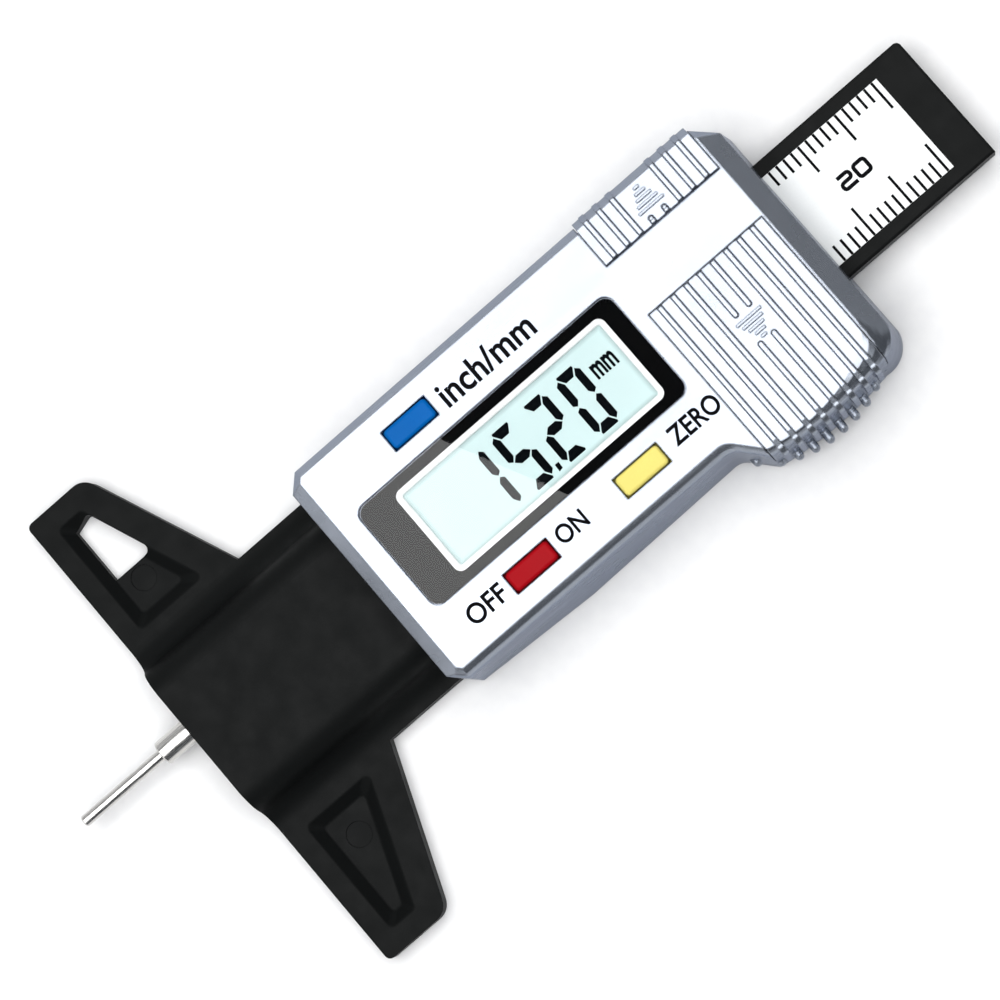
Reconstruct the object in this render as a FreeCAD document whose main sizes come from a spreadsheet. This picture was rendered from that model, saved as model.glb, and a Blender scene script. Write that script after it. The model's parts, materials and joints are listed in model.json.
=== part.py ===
"""Digital tyre tread depth gauge, as a parametric FreeCAD document.

X runs across the gauge, Y along the slide towards its free end, Z up out of the display. The
gauge lies on its back. Sub-parts are drawn with Y measured from the measuring face, and their
Placement moves that face to datum_y, so that the origin is the middle of the footprint.
"""
import FreeCAD, Part
import math
import os
import re
import Sketcher

V = FreeCAD.Vector
doc = FreeCAD.newDocument("tread_gauge")
sheet = doc.addObject("Spreadsheet::Sheet", "dims")

CELLS = {
    # placing
    "datum_y": -43.65,
    "gap": 0.1,
    "play": 0.05,
    "ground": -1.0,
    "sky": 20.0,
    # measuring base: wings, neck and crown
    "wing_half": 30.0,
    "wing_side": 7.93,
    "wing_root": 15.04,
    "wing_thick": 2.7,
    "wing_corner": 2.0,
    "wing_toe": 0.7,
    "neck_half": 12.5,
    "crown_half": 6.4,
    "crown_top": 7.3,
    "crown_end": 27.6,
    "well_inner": 13.6,
    "well_outer": 27.6,
    "well_low": 2.3,
    "well_high": 11.1,
    "well_side": 5.6,
    "well_deep": 1.1,
    "well_wall": 1.25,
    "well_corner": 0.95,
    "well_soft": 0.4,
    "mark_radius": 1.4,
    "mark_deep": 0.12,
    "mark_x": 17.8,
    "mark_y": 6.0,
    "hole_tip": 26.9,
    "hole_side": 26.2,
    "hole_inner": 19.5,
    "hole_low": 3.5,
    "hole_round": 0.6,
    # tray behind the cover
    "floor_top": 2.2,
    "tray_cut": 1.6,
    "rail_width": 1.45,
    "rail_top": 5.5,
    "mouth_wall": 2.6,
    "mouth_gap": 0.5,
    "roof_under": 5.35,
    # front cover: outline at the plateau, the shoulder and the foot
    "plate_top": 14.0,
    "shoulder_z": 12.4,
    "skirt_foot": 0.4,
    "top_half": 12.95,
    "top_right": 12.4,
    "shoulder_half": 13.95,
    "foot_half": 14.4,
    "foot_belly": 14.75,
    "belly_y": 41.0,
    "top_low": 26.4,
    "top_high": 80.1,
    "shoulder_low": 24.9,
    "shoulder_high": 82.25,
    "foot_low": 24.75,
    "foot_high": 83.1,
    "top_corner": 0.5,
    "low_corner": 1.7,
    "high_corner": 2.5,
    # thumb bulge
    "swell_low": 61.9,
    "swell_top_y": 65.0,
    "swell_top_x": 15.98,
    "swell_top_radius": 15.8,
    "swell_end_x": 13.75,
    "swell_end_y": 78.4,
    "swell_side_radius": 42.0,
    "swell_side_mid": 72.0,
    "swell_side_peak": 17.75,
    "swell_side_low": 64.6,
    "swell_side_high": 79.2,
    "swell_draft": 0.4,
    "swell_corner": 3.4,
    "swell_bend": 0.9,
    # inside of the front cover
    "ceiling": 12.2,
    "inner_half": 12.6,
    "inner_low": 26.2,
    "inner_high": 81.3,
    "inner_swell": 15.2,
    "boss_x": 10.9,
    "boss_low_y": 29.4,
    "boss_high_y": 61.9,
    "boss_radius": 1.55,
    "pilot_radius": 0.8,
    # display
    "lens_half": 6.5,
    "lens_low": 28.8,
    "lens_high": 62.8,
    "lens_corner": 1.2,
    "lens_top": 13.95,
    "lens_under": 13.0,
    "ledge": 12.9,
    "window_half": 5.35,
    "window_low": 32.8,
    "window_high": 60.85,
    "window_corner": 0.9,
    "window_clear": 0.3,
    "bezel_half": 4.7,
    "bezel_low": 33.5,
    "bezel_high": 60.2,
    "bezel_corner": 0.3,
    "bezel_top": 12.8,
    "bezel_lip": 0.4,
    "bezel_step": 0.2,
    "bezel_body_grow": 0.9,
    "bezel_body_half": 6.2,
    "bezel_body_top": 12.1,
    "glass_half": 5.2,
    "glass_low": 33.0,
    "glass_high": 60.7,
    "glass_thick": 0.55,
    "glass_ledge": 1.3,
    "film_thick": 0.12,
    "strip_width": 0.9,
    # circuit board
    "board_half": 12.2,
    "board_low": 28.0,
    "board_high": 80.8,
    "board_thick": 0.8,
    "boss_notch": 1.9,
    "chip_radius": 4.0,
    "chip_rise": 1.3,
    "chip_y": 44.0,
    "chip_size": 1.2,
    "part_x": 2.2,
    "part_gap": 2.0,
    "pad_thick": 0.12,
    "pad_half": 0.7,
    "pad_pitch": 2.0,
    "pad_inset": 0.3,
    # push buttons
    "button_width": 2.3,
    "button_length": 5.6,
    "button_top": 14.35,
    "button_crown": 0.4,
    "button_round": 0.45,
    "button_gap": 0.15,
    "flange_grow": 0.45,
    "flange_low": 11.1,
    "stem_radius": 0.9,
    "dome_radius": 1.6,
    "dome_neck": 0.8,
    "dome_rise": 2.0,
    "left_button_x": -9.65,
    "right_button_x": 9.6,
    "low_button_y": 39.0,
    "zero_button_y": 53.8,
    # battery and its bay
    "cell_x": 8.6,
    "cell_y": 72.2,
    "cell_radius": 5.8,
    "cell_low": 6.75,
    "cell_high": 12.1,
    "cell_cap_radius": 4.6,
    "cell_cap_rise": 0.35,
    "cell_seal": 0.35,
    "bay_gap": 0.25,
    "bay_wall": 0.9,
    "bay_floor": 11.3,
    "bay_roof": 12.35,
    "contact_thick": 0.2,
    "contact_half": 0.7,
    "contact_foot": 4.0,
    "leaf_reach": 3.0,
    "leaf_half": 1.0,
    # sliding covers
    "lid_low": 64.7,
    "lid_high": 79.75,
    "battery_lid_x": -1.9,
    "port_lid_x": -8.65,
    "lid_under": 12.4,
    "lid_skirt": 7.6,
    "battery_skirt_in": 15.8,
    "port_skirt_in": -13.3,
    "port_gap": 0.2,
    "port_proud": 0.4,
    "port_lip": 0.12,
    "tab_reach": 1.1,
    "tab_top": 13.0,
    "tab_half": 4.0,
    "lid_mid": 72.15,
    "port_low_x": -11.7,
    "port_high_x": -9.1,
    "port_half": 4.2,
    "port_wall": 0.7,
    # grip ribs
    "rib_pitch": 1.765,
    "rib_width": 0.64,
    "rib_rise": 0.28,
    "rib_side": 0.9,
    "rib_root": 0.5,
    "rib_round": 0.2,
    "rib_end": 0.3,
    "rib_bend": 1.3,
    "rib_run": 1.3,
    "knob_radius": 0.48,
    "knob_root": 2.1,
    "knob_dome": 0.35,
    "knob_draft": -42.0,
    "knob_low": 3.1,
    "knob_top": 5.0,
    "knob_arc": 15.0,
    "knob_peak": 18.95,
    "knob_mid": 71.8,
    "knob_lead_x": 15.75,
    "knob_lead_y": 63.15,
    "arrow_bar": 0.28,
    "arrow_pitch": 0.6,
    "arrow_height": 3.2,
    "arrow_rise": 0.25,
    "arrow_right": 4.75,
    "arrow_left": -10.4,
    "arrow_clear": 0.55,
    # slide and probe
    "slide_half": 7.7,
    "slide_low": 13.0,
    "slide_high": 102.5,
    "slide_under": 2.25,
    "slide_top": 5.25,
    "slide_corner": 0.6,
    "slide_edge": 0.25,
    "scale_half": 6.1,
    "scale_low": 21.6,
    "scale_high": 98.3,
    "scale_thick": 0.6,
    "groove_half": 1.1,
    "groove_low": 18.6,
    "groove_high": 46.4,
    "groove_deep": 1.3,
    "probe_x": -2.0,
    "probe_z": 3.75,
    "sleeve_radius": 1.4,
    "sleeve_tip": -4.2,
    "sleeve_root": 18.0,
    "sleeve_neck": 1.0,
    "pin_radius": 0.65,
    "pin_tip": -15.2,
    "pin_root": 6.0,
    "probe_edge": 0.15,
    # screws and drag spring
    "head_radius": 1.5,
    "head_low": 0.15,
    "head_high": 1.05,
    "shank_radius": 0.75,
    "screw_tip": 7.6,
    "stop_y": 35.0,
    "stop_tip": 3.35,
    "cross_half": 0.2,
    "cross_reach": 0.8,
    "cross_deep": 0.6,
    "sink_radius": 1.65,
    "sink_deep": 1.1,
    "spring_low": 64.0,
    "spring_high": 77.0,
    "spring_half": 2.5,
    "spring_seat": 1.3,
    "spring_thick": 0.15,
    "spring_flat": 1.0,
    "spring_play": 0.03,
}


def fill_sheet():
    for row, (name, value) in enumerate(CELLS.items(), start=1):
        sheet.set(f"A{row}", name)
        sheet.set(f"B{row}", str(value))
        sheet.setAlias(f"B{row}", name)
    doc.recompute()


def formula(text):
    """A formula of cell names, as an expression that FreeCAD can bind."""
    return re.sub(r"[a-z_]+", lambda word: "dims." + word[0] if word[0] in CELLS else word[0], text)


def value(text):
    return float(sheet.evalExpression(formula(text)))


# ---------------------------------------------------------------- features

def new_body(label):
    body = doc.addObject("PartDesign::Body", label)
    body.Label = label
    body.AllowCompound = True
    body.setExpression("Placement.Base.y", formula("datum_y"))
    return body


def new_sketch(body, plane, offset):
    """A sketch on one of the body's origin planes, moved along the plane's normal."""
    sketch = body.newObject("Sketcher::SketchObject", "outline")
    planes = {item.Role: item for item in body.Origin.OriginFeatures}
    sketch.AttachmentSupport = (planes[plane], [""])
    sketch.MapMode = "FlatFace"
    sketch.setExpression("AttachmentOffset.Base.z", formula(offset))
    return sketch


def bind(sketch, constraint, text):
    index = sketch.addConstraint(constraint)
    sketch.setExpression(f"Constraints[{index}]", formula(text))


def arc_between(start, end, radius, side):
    """The short arc from start to end. It swells to the right of the way where side is 1, else left."""
    half = (end - start) * 0.5
    rise = radius - math.sqrt(radius ** 2 - half.Length ** 2)
    outward = V(half.y, -half.x, 0).normalize()
    return Part.Arc(start, start + half + outward * rise * side, end)


def is_inward(corner):
    """An inward arc runs clockwise, and a sketch numbers its ends the other way round."""
    return len(corner) == 4


def draw_loop(sketch, corners):
    """A closed loop, anticlockwise. A corner's third formula makes the stretch after it an arc.

    The arc swells outwards, or inwards where the corner has a fourth item.
    """
    points = [V(value(corner[0]), value(corner[1]), 0) for corner in corners]
    first = sketch.GeometryCount
    for number, corner in enumerate(corners):
        start, end = points[number], points[(number + 1) % len(points)]
        if len(corner) > 2:
            side = -1 if is_inward(corner) else 1
            sketch.addGeometry(arc_between(start, end, value(corner[2]), side), False)
        else:
            sketch.addGeometry(Part.LineSegment(start, end), False)
    for number, corner in enumerate(corners):
        here = first + number
        following_corner = corners[(number + 1) % len(corners)]
        following = first + (number + 1) % len(corners)
        begin, end = (2, 1) if is_inward(corner) else (1, 2)
        next_begin = 2 if is_inward(following_corner) else 1
        sketch.addConstraint(Sketcher.Constraint("Coincident", here, end, following, next_begin))
        bind(sketch, Sketcher.Constraint("DistanceX", here, begin, points[number].x), corner[0])
        bind(sketch, Sketcher.Constraint("DistanceY", here, begin, points[number].y), corner[1])
        if len(corner) > 2:
            bind(sketch, Sketcher.Constraint("Radius", here, value(corner[2])), corner[2])


def draw_circle(sketch, across, along, radius):
    centre = V(value(across), value(along), 0)
    index = sketch.addGeometry(Part.Circle(centre, V(0, 0, 1), value(radius)), False)
    bind(sketch, Sketcher.Constraint("DistanceX", index, 3, centre.x), across)
    bind(sketch, Sketcher.Constraint("DistanceY", index, 3, centre.y), along)
    bind(sketch, Sketcher.Constraint("Radius", index, value(radius)), radius)


def extrude(body, sketch, length, cut, draft=None):
    """Pads a sketch along its plane's normal, or cuts it out of the body the same way."""
    feature = body.newObject("PartDesign::Pocket" if cut else "PartDesign::Pad", "cut" if cut else "pad")
    feature.Profile = sketch
    feature.Reversed = cut
    feature.setExpression("Length", formula(length))
    if draft:
        feature.setExpression("TaperAngle", formula(draft))
    body.Tip = feature
    return feature


def plate(body, corners, low, high, cut=False, draft=None):
    """A prism that stands on an outline in X and Y, between two heights."""
    sketch = new_sketch(body, "XY_Plane", low)
    draw_loop(sketch, corners)
    return extrude(body, sketch, f"{high} - ({low})", cut, draft)


def rectangle(low_x, high_x, low_y, high_y):
    return [(low_x, low_y), (high_x, low_y), (high_x, high_y), (low_x, high_y)]


def block(body, across, along, up, cut=False):
    return plate(body, rectangle(*across, *along), up[0], up[1], cut)


def post(body, across, along, radius, low, high, cut=False):
    """A round post or hole along Z."""
    sketch = new_sketch(body, "XY_Plane", low)
    draw_circle(sketch, across, along, radius)
    return extrude(body, sketch, f"{high} - ({low})", cut)


def rod(body, across, height, radius, low_y, high_y, cut=False):
    """A round bar or hole along Y."""
    sketch = new_sketch(body, "XZ_Plane", f"-({high_y})")
    draw_circle(sketch, across, height, radius)
    return extrude(body, sketch, f"{high_y} - ({low_y})", cut)


def profile_along_y(body, corners, low_y, high_y, cut=False):
    """A prism along Y whose section is drawn in X and Z."""
    sketch = new_sketch(body, "XZ_Plane", f"-({high_y})")
    draw_loop(sketch, corners)
    return extrude(body, sketch, f"{high_y} - ({low_y})", cut)


def loft(body, sections, cut=False):
    """A solid ruled between outlines, each given as its corners and its height."""
    sketches = []
    for corners, height in sections:
        sketch = new_sketch(body, "XY_Plane", height)
        draw_loop(sketch, corners)
        sketches.append(sketch)
    kind = "PartDesign::SubtractiveLoft" if cut else "PartDesign::AdditiveLoft"
    feature = body.newObject(kind, "loft")
    feature.Profile = sketches[0]
    feature.Sections = sketches[1:]
    feature.Ruled = True
    body.Tip = feature
    return feature


def dress(body, kind, size_name, size, choose):
    """Fillets or chamfers the edges that choose accepts, by their middle and their direction."""
    doc.recompute()
    base = body.Tip
    names = []
    for number, edge in enumerate(base.Shape.Edges, start=1):
        middle = edge.valueAt((edge.FirstParameter + edge.LastParameter) / 2)
        run = edge.Vertexes[-1].Point - edge.Vertexes[0].Point
        if choose(middle, run):
            names.append(f"Edge{number}")
    feature = body.newObject(kind, "dress")
    feature.Base = (base, names)
    feature.setExpression(size_name, formula(size))
    body.Tip = feature
    return feature


def fillet(body, size, choose):
    return dress(body, "PartDesign::Fillet", "Radius", size, choose)


def chamfer(body, size, choose):
    return dress(body, "PartDesign::Chamfer", "Size", size, choose)


def is_upright(run):
    return abs(run.x) + abs(run.y) < 1e-6 and abs(run.z) > 1e-6


def is_slanted(run):
    return abs(run.x) + abs(run.y) > 0.01 and abs(run.z) > 0.01


def upright_within(low_x, high_x, low_y, high_y):
    """Picks the upright edges that stand inside a rectangle."""
    bounds = [value(text) for text in (low_x, high_x, low_y, high_y)]

    def choose(middle, run):
        inside = bounds[0] < middle.x < bounds[1] and bounds[2] < middle.y < bounds[3]
        return inside and is_upright(run)
    return choose


# ---------------------------------------------------------------- outlines

def side_reach(radius, peak, mid, along):
    """How far out in X an arc of the thumb bulge stands at a place along Y."""
    return f"({peak} - ({radius}) + sqrt(({radius})^2 - (({along}) - {mid})^2))"


def cover_outline(left, right, belly, low, high, corner_low, corner_high, swell):
    """The cover's plan outline: a long box with cut corners and a thumb bulge near its top right."""
    side, side_y, peak_radius, end_x, end_y = swell
    across, along = f"({side} - {right})", f"({side_y} - swell_low)"
    slant = f"sqrt({across} ^ 2 + {along} ^ 2)"
    return [
        (f"-{left} + {corner_low}", low),
        (f"{right} - {corner_low} - ({belly} - {right})", low),
        (f"{right} - ({belly} - {right})", f"{low} + {corner_low}"),
        (belly, "belly_y"),
        (right, "swell_low - swell_bend", f"swell_bend * ({slant} + {along}) / {across}", "inwards"),
        (f"{right} + {across} * swell_bend / {slant}", f"swell_low + {along} * swell_bend / {slant}"),
        (side, side_y, peak_radius),
        (end_x, end_y, "swell_corner"),
        (f"{end_x} - swell_corner * 0.8", high),
        (f"-{left} + {corner_high}", high),
        (f"-{left}", f"{high} - {corner_high}"),
        (f"-{left}", f"{low} + {corner_low}"),
    ]


def wall_swell(peak):
    """The thumb bulge at the wall, as its start, its radius and its end."""
    reach_low = side_reach("swell_side_radius", peak, "swell_side_mid", "swell_side_low")
    reach_high = side_reach("swell_side_radius", peak, "swell_side_mid", "swell_side_high")
    return reach_low, "swell_side_low", "swell_side_radius", reach_high, "swell_side_high"


def foot_outline():
    swell = wall_swell("(swell_side_peak + swell_draft)")
    return cover_outline("foot_half", "foot_half", "foot_belly", "foot_low", "foot_high",
                         "low_corner", "high_corner", swell)


def upper_outline(angle):
    """An outline above the shoulder. The right side rounds over, and the other sides slope straight."""
    sloped = round(1 - math.sin(angle), 6)
    rounded = round(math.cos(angle), 6)

    def between(top, shoulder, share):
        return f"({top} + ({shoulder} - {top}) * {share})"
    wall = wall_swell("swell_side_peak")
    right = between("top_right", "shoulder_half", rounded)
    curve = between("1 / swell_top_radius", "1 / swell_side_radius", rounded)
    swell = (
        between("swell_top_x", wall[0], rounded),
        between("swell_top_y", wall[1], rounded),
        f"1 / {curve}",
        between("swell_end_x", wall[3], rounded),
        between("swell_end_y", wall[4], rounded),
    )
    return cover_outline(
        between("top_half", "shoulder_half", sloped), right, right,
        between("top_low", "shoulder_low", sloped), between("top_high", "shoulder_high", sloped),
        between("top_corner", "low_corner", sloped), between("top_corner", "high_corner", sloped), swell)


EDGE_STEPS = 6


def envelope(body):
    """The outer form that the front cover and its two sliding lids are cut from."""
    sections = [(foot_outline(), "skirt_foot")]
    for step in range(EDGE_STEPS + 1):
        angle = math.pi / 2 * step / EDGE_STEPS
        rise = round(math.sin(angle), 6)
        sections.append((upper_outline(angle), f"shoulder_z + (plate_top - shoulder_z) * {rise}"))
    loft(body, sections)


def tray_outline(inset):
    """The outline inside the cover's skirt, with the room in the thumb bulge."""
    return [
        (f"-inner_half + {inset}", "crown_end"),
        (f"inner_half - {inset}", "crown_end"),
        (f"inner_half - {inset}", f"swell_low + {inset}"),
        (f"inner_swell - {inset}", f"swell_side_low + {inset}"),
        (f"inner_swell - {inset}", f"inner_high - tray_cut - {inset}"),
        (f"inner_swell - tray_cut - {inset}", f"inner_high - {inset}"),
        (f"-inner_half + tray_cut + {inset}", f"inner_high - {inset}"),
        (f"-inner_half + {inset}", f"inner_high - tray_cut - {inset}"),
    ]


def crown_profile(grow):
    """The neck's front section in X and Z: a flat crown whose flanks fall in an S of two arcs."""
    run, rise = "(neck_half - crown_half)", "(crown_top - wing_thick)"
    radius = f"({run} ^ 2 + {rise} ^ 2) / (4 * {rise})"
    foot, top = f"(neck_half + {grow})", f"(crown_half + {grow})"
    middle = f"(neck_half + crown_half) / 2 + {grow}"
    low, mid, high = f"wing_thick + {grow}", f"(wing_thick + crown_top) / 2 + {grow}", f"crown_top + {grow}"
    return [
        (f"-{foot}", "floor_top"),
        (foot, "floor_top"),
        (foot, low, radius, "inwards"),
        (middle, mid, radius),
        (top, high),
        (f"-{top}", high, radius),
        (f"-({middle})", mid, radius, "inwards"),
        (f"-{foot}", low),
    ]


BOARD_TOP = "rail_top + board_thick"
BOSSES = [(side, along) for side in ("-boss_x", "boss_x") for along in ("boss_low_y", "boss_high_y")]


# ---------------------------------------------------------------- measuring base

WELL_SLOPE = "((well_high - well_side) / (well_outer - well_inner))"


def well_outline(side, inset):
    """A wing's sunk panel, whose long edge is parallel to the wing's rear edge."""
    drop = f"{inset} * sqrt(1 + {WELL_SLOPE} ^ 2)"
    corners = [
        (f"{side} * (well_inner + {inset})", f"well_low + {inset}"),
        (f"{side} * (well_outer - {inset})", f"well_low + {inset}"),
        (f"{side} * (well_outer - {inset})", f"well_side + {WELL_SLOPE} * {inset} - {drop}"),
        (f"{side} * (well_inner + {inset})", f"well_high - {WELL_SLOPE} * {inset} - {drop}"),
    ]
    if side < 0:
        corners.reverse()
    return corners


def wing_well(body, side):
    """A panel with sloped walls and soft edges, and a round mark on its floor."""
    floor = "wing_thick - well_deep"
    rim, foot = well_outline(side, "0"), well_outline(side, "well_wall")
    loft(body, [(rim, "wing_thick"), (foot, floor)], cut=True)

    def in_well(middle):
        inside = value("well_inner") - 0.1 < side * middle.x < value("well_outer") + 0.1
        return inside and value("well_low") - 0.1 < middle.y < value("well_high")
    fillet(body, "well_corner", lambda middle, run: in_well(middle) and is_slanted(run))
    fillet(body, "well_soft", lambda middle, run: in_well(middle) and middle.z > value("wing_thick") - 0.01)
    fillet(body, "well_soft", lambda middle, run: in_well(middle) and abs(middle.z - value(floor)) < 0.01)
    post(body, f"{side} * mark_x", "mark_y", "mark_radius", f"{floor} - mark_deep", floor, cut=True)


def hanging_hole(body):
    """A hole through the left well, up to the well's own long edge."""
    def long_edge(across):
        return f"well_side + {WELL_SLOPE} * (well_outer - {across})"
    corners = [
        ("-hole_inner", long_edge("hole_inner")),
        ("-hole_tip", long_edge("hole_tip")),
        ("-hole_side", "hole_low"),
        ("-hole_inner", "hole_low"),
    ]
    plate(body, corners, "ground", "wing_thick", cut=True)
    long_side = upright_within("-hole_tip - gap", "-hole_inner + gap", "hole_low + 1", "well_high")
    fillet(body, "hole_round", long_side)


def screw_seat(body, across, along):
    post(body, across, along, "sink_radius", "ground", "sink_deep", cut=True)
    post(body, across, along, "shank_radius + gap", "ground", "rail_top", cut=True)


def wings_and_crown(body):
    """The flat wings with the neck behind them, and the crown that rises over the slide."""
    outline = [
        ("-wing_half", "0"),
        ("wing_half", "0"),
        ("wing_half", "wing_side"),
        ("neck_half", "wing_root"),
        ("neck_half", "crown_end + 2"),
        ("-neck_half", "crown_end + 2"),
        ("-neck_half", "wing_root"),
        ("-wing_half", "wing_side"),
    ]
    plate(body, outline, "0", "wing_thick")
    profile_along_y(body, crown_profile("0"), "0", "crown_end")
    sides = ("-wing_half - 1", "wing_half + 1")
    fillet(body, "wing_corner", upright_within(*sides, "wing_side - 1", "wing_side + 1"))
    fillet(body, "wing_toe", upright_within(*sides, "-1", "1"))
    block(body, ("-neck_half", "neck_half"), ("crown_end", "crown_end + 3"),
          ("floor_top", "wing_thick + 1"), cut=True)


def tray(body):
    """The floor behind the cover, with a rail on each side of the slide."""
    plate(body, tray_outline("gap"), "0", "floor_top")
    for side in ("-slide_half - play - rail_width", "slide_half + play"):
        block(body, (side, f"{side} + rail_width"), ("crown_end - 1", "inner_high - gap"),
              ("floor_top", "rail_top"))


def slide_way(body):
    """The slide's room under the crown, and the probe's hole through the measuring face."""
    block(body, ("-slide_half - play", "slide_half + play"), ("mouth_wall", "crown_end + 1"),
          ("floor_top", "roof_under"), cut=True)
    rod(body, "probe_x", "probe_z", "sleeve_radius + play", "-1", "mouth_wall + 1", cut=True)


def base_housing():
    body = new_body("base_housing")
    wings_and_crown(body)
    tray(body)
    slide_way(body)
    wing_well(body, -1)
    wing_well(body, 1)
    hanging_hole(body)
    for across, along in BOSSES:
        screw_seat(body, across, along)
    screw_seat(body, "0", "stop_y")
    block(body, ("-spring_half - gap", "spring_half + gap"), ("spring_low - gap", "spring_high + gap"),
          ("spring_seat", "floor_top"), cut=True)
    return body


# ---------------------------------------------------------------- front cover

def cover_inside(body):
    """Hollows the cover, then cuts the neck's mouth and the slide's slot through its ends."""
    plate(body, tray_outline("0"), "ground", "ceiling", cut=True)
    block(body, ("-inner_half", "inner_half"), ("inner_low", "crown_end + 1"),
          ("ground", "ceiling"), cut=True)
    block(body, ("-neck_half - gap", "neck_half + gap"), ("top_low - 3", "top_low + 1"),
          ("ground", "wing_thick + gap"), cut=True)
    profile_along_y(body, crown_profile("mouth_gap"), "top_low - 3", "top_low + 1", cut=True)
    block(body, ("-slide_half - gap", "slide_half + gap"), ("inner_high - 1", "foot_high + 1"),
          ("slide_under - gap", "slide_top + gap"), cut=True)


def screw_boss(body, across, along):
    post(body, across, along, "boss_radius", "floor_top + play", "ceiling + gap")
    post(body, across, along, "pilot_radius", "floor_top", "screw_tip + 1", cut=True)


def display_opening(body):
    block(body, ("-lens_half - gap", "lens_half + gap"), ("lens_low - gap", "lens_high + gap"),
          ("ledge", "sky"), cut=True)
    seat = upright_within("-lens_half - 1", "lens_half + 1", "lens_low - 1", "lens_high + 1")
    fillet(body, "lens_corner", seat)
    block(body, ("-window_half - window_clear", "window_half + window_clear"),
          ("window_low - window_clear", "window_high + window_clear"), ("ceiling - 1", "sky"), cut=True)


BUTTONS = {
    "inch_mm": ("left_button_x", "low_button_y"),
    "zero": ("right_button_x", "zero_button_y"),
    "power": ("right_button_x", "low_button_y"),
}


def button_opening(body, across, along):
    reach_x = "(button_width / 2 + button_gap)"
    reach_y = "(button_length / 2 + button_gap)"
    block(body, (f"{across} - {reach_x}", f"{across} + {reach_x}"),
          (f"{along} - {reach_y}", f"{along} + {reach_y}"), ("ceiling - 1", "sky"), cut=True)


LID_BED = ("lid_low - 1", "lid_high + 1")
LID_SEAT = ("lid_low - gap", "lid_high + gap")
TAB = ("lid_mid - tab_half", "lid_mid + tab_half")
TAB_SLOT = ("lid_mid - tab_half - gap", "lid_mid + tab_half + gap")


def battery_bay(body):
    """A round well for the cell, and the lid's seat over it."""
    reach = "cell_radius + bay_gap + bay_wall"
    block(body, ("battery_lid_x - 1.5", "inner_swell + gap"), LID_BED, ("bay_floor", "ceiling + gap"))
    post(body, "cell_x", "cell_y", reach, f"{BOARD_TOP} + gap", "bay_floor + gap")
    post(body, "cell_x", "cell_y", "cell_radius + bay_gap", "floor_top", "sky", cut=True)
    block(body, ("battery_lid_x - gap", "sky"), LID_SEAT, ("bay_roof", "sky"), cut=True)
    block(body, ("battery_skirt_in - gap", "sky"), LID_SEAT, ("lid_skirt - gap", "sky"), cut=True)
    block(body, ("battery_lid_x - tab_reach - 2 * gap", "battery_lid_x"), TAB_SLOT,
          ("bay_roof", "tab_top + gap"), cut=True)


def port_bay(body):
    """The data port's funnel down to the circuit board, and its lid's seat."""
    block(body, ("port_low_x - port_wall", "port_high_x + port_wall"),
          ("lid_mid - port_half - port_wall", "lid_mid + port_half + port_wall"),
          (f"{BOARD_TOP} + gap", "ceiling + gap"))
    block(body, ("-inner_half - gap", "port_lid_x + 1.5"), LID_BED, ("bay_floor", "ceiling + gap"))
    block(body, ("port_low_x", "port_high_x"), ("lid_mid - port_half", "lid_mid + port_half"),
          ("floor_top", "sky"), cut=True)
    block(body, ("-sky", "port_lid_x + port_gap"), LID_SEAT, ("bay_roof", "sky"), cut=True)
    block(body, ("-sky", "port_skirt_in + gap"), LID_SEAT, ("lid_skirt - gap", "sky"), cut=True)
    block(body, ("port_lid_x", "port_lid_x + tab_reach + 2 * gap"), TAB_SLOT,
          ("bay_roof", "tab_top + gap"), cut=True)


def rib_places():
    """The eight grip ribs' centres along Y, evenly about the lids' middle."""
    return [f"lid_mid + {place} * rib_pitch" for place in (-3.5, -2.5, -1.5, -0.5, 0.5, 1.5, 2.5, 3.5)]


def bulge_wall(along):
    return side_reach("swell_side_radius", "swell_side_peak", "swell_side_mid", along)


def knob_reach(along):
    return side_reach("knob_arc", "knob_peak", "knob_mid", along)


def knob_outline(tip, along):
    """A round-ended grip stud that stands out of the bulge's side as far as tip."""
    return [
        (f"{tip} - knob_root", f"{along} - knob_radius"),
        (tip, f"{along} - knob_radius", "knob_radius"),
        (f"{tip} + knob_radius", along, "knob_radius"),
        (tip, f"{along} + knob_radius"),
        (f"{tip} - knob_root", f"{along} + knob_radius"),
    ]


def knobs(body):
    """Grip studs round the bulge's side below the battery lid's skirt, between the lid's ribs."""
    places = [f"lid_mid + {place} * rib_pitch" for place in range(-4, 5)]
    outlines = [knob_outline(knob_reach(along), along) for along in places]
    outlines.append(knob_outline("knob_lead_x", "knob_lead_y"))
    shoulder = "knob_top - knob_dome"
    for low, high, draft in (("knob_low", shoulder, None), (shoulder, "knob_top", "knob_draft")):
        sketch = new_sketch(body, "XY_Plane", low)
        for outline in outlines:
            draw_loop(sketch, outline)
        extrude(body, sketch, f"{high} - ({low})", False, draft)


def front_cover():
    body = new_body("front_cover")
    envelope(body)
    knobs(body)
    cover_inside(body)
    for across, along in BOSSES:
        screw_boss(body, across, along)
    display_opening(body)
    for across, along in BUTTONS.values():
        button_opening(body, across, along)
    battery_bay(body)
    port_bay(body)
    return body


# ---------------------------------------------------------------- sliding lids

def trim_outside(body, low_x, high_x):
    """Leaves only the lid's own stretch of the cover's outer form."""
    for across, along in (
        (("-sky * 2", low_x), ("0", "foot_high + sky")),
        ((high_x, "sky * 2"), ("0", "foot_high + sky")),
        (("-sky * 2", "sky * 2"), ("0", "lid_low")),
        (("-sky * 2", "sky * 2"), ("lid_high", "foot_high + sky")),
    ):
        block(body, across, along, ("ground", "sky"), cut=True)


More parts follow.
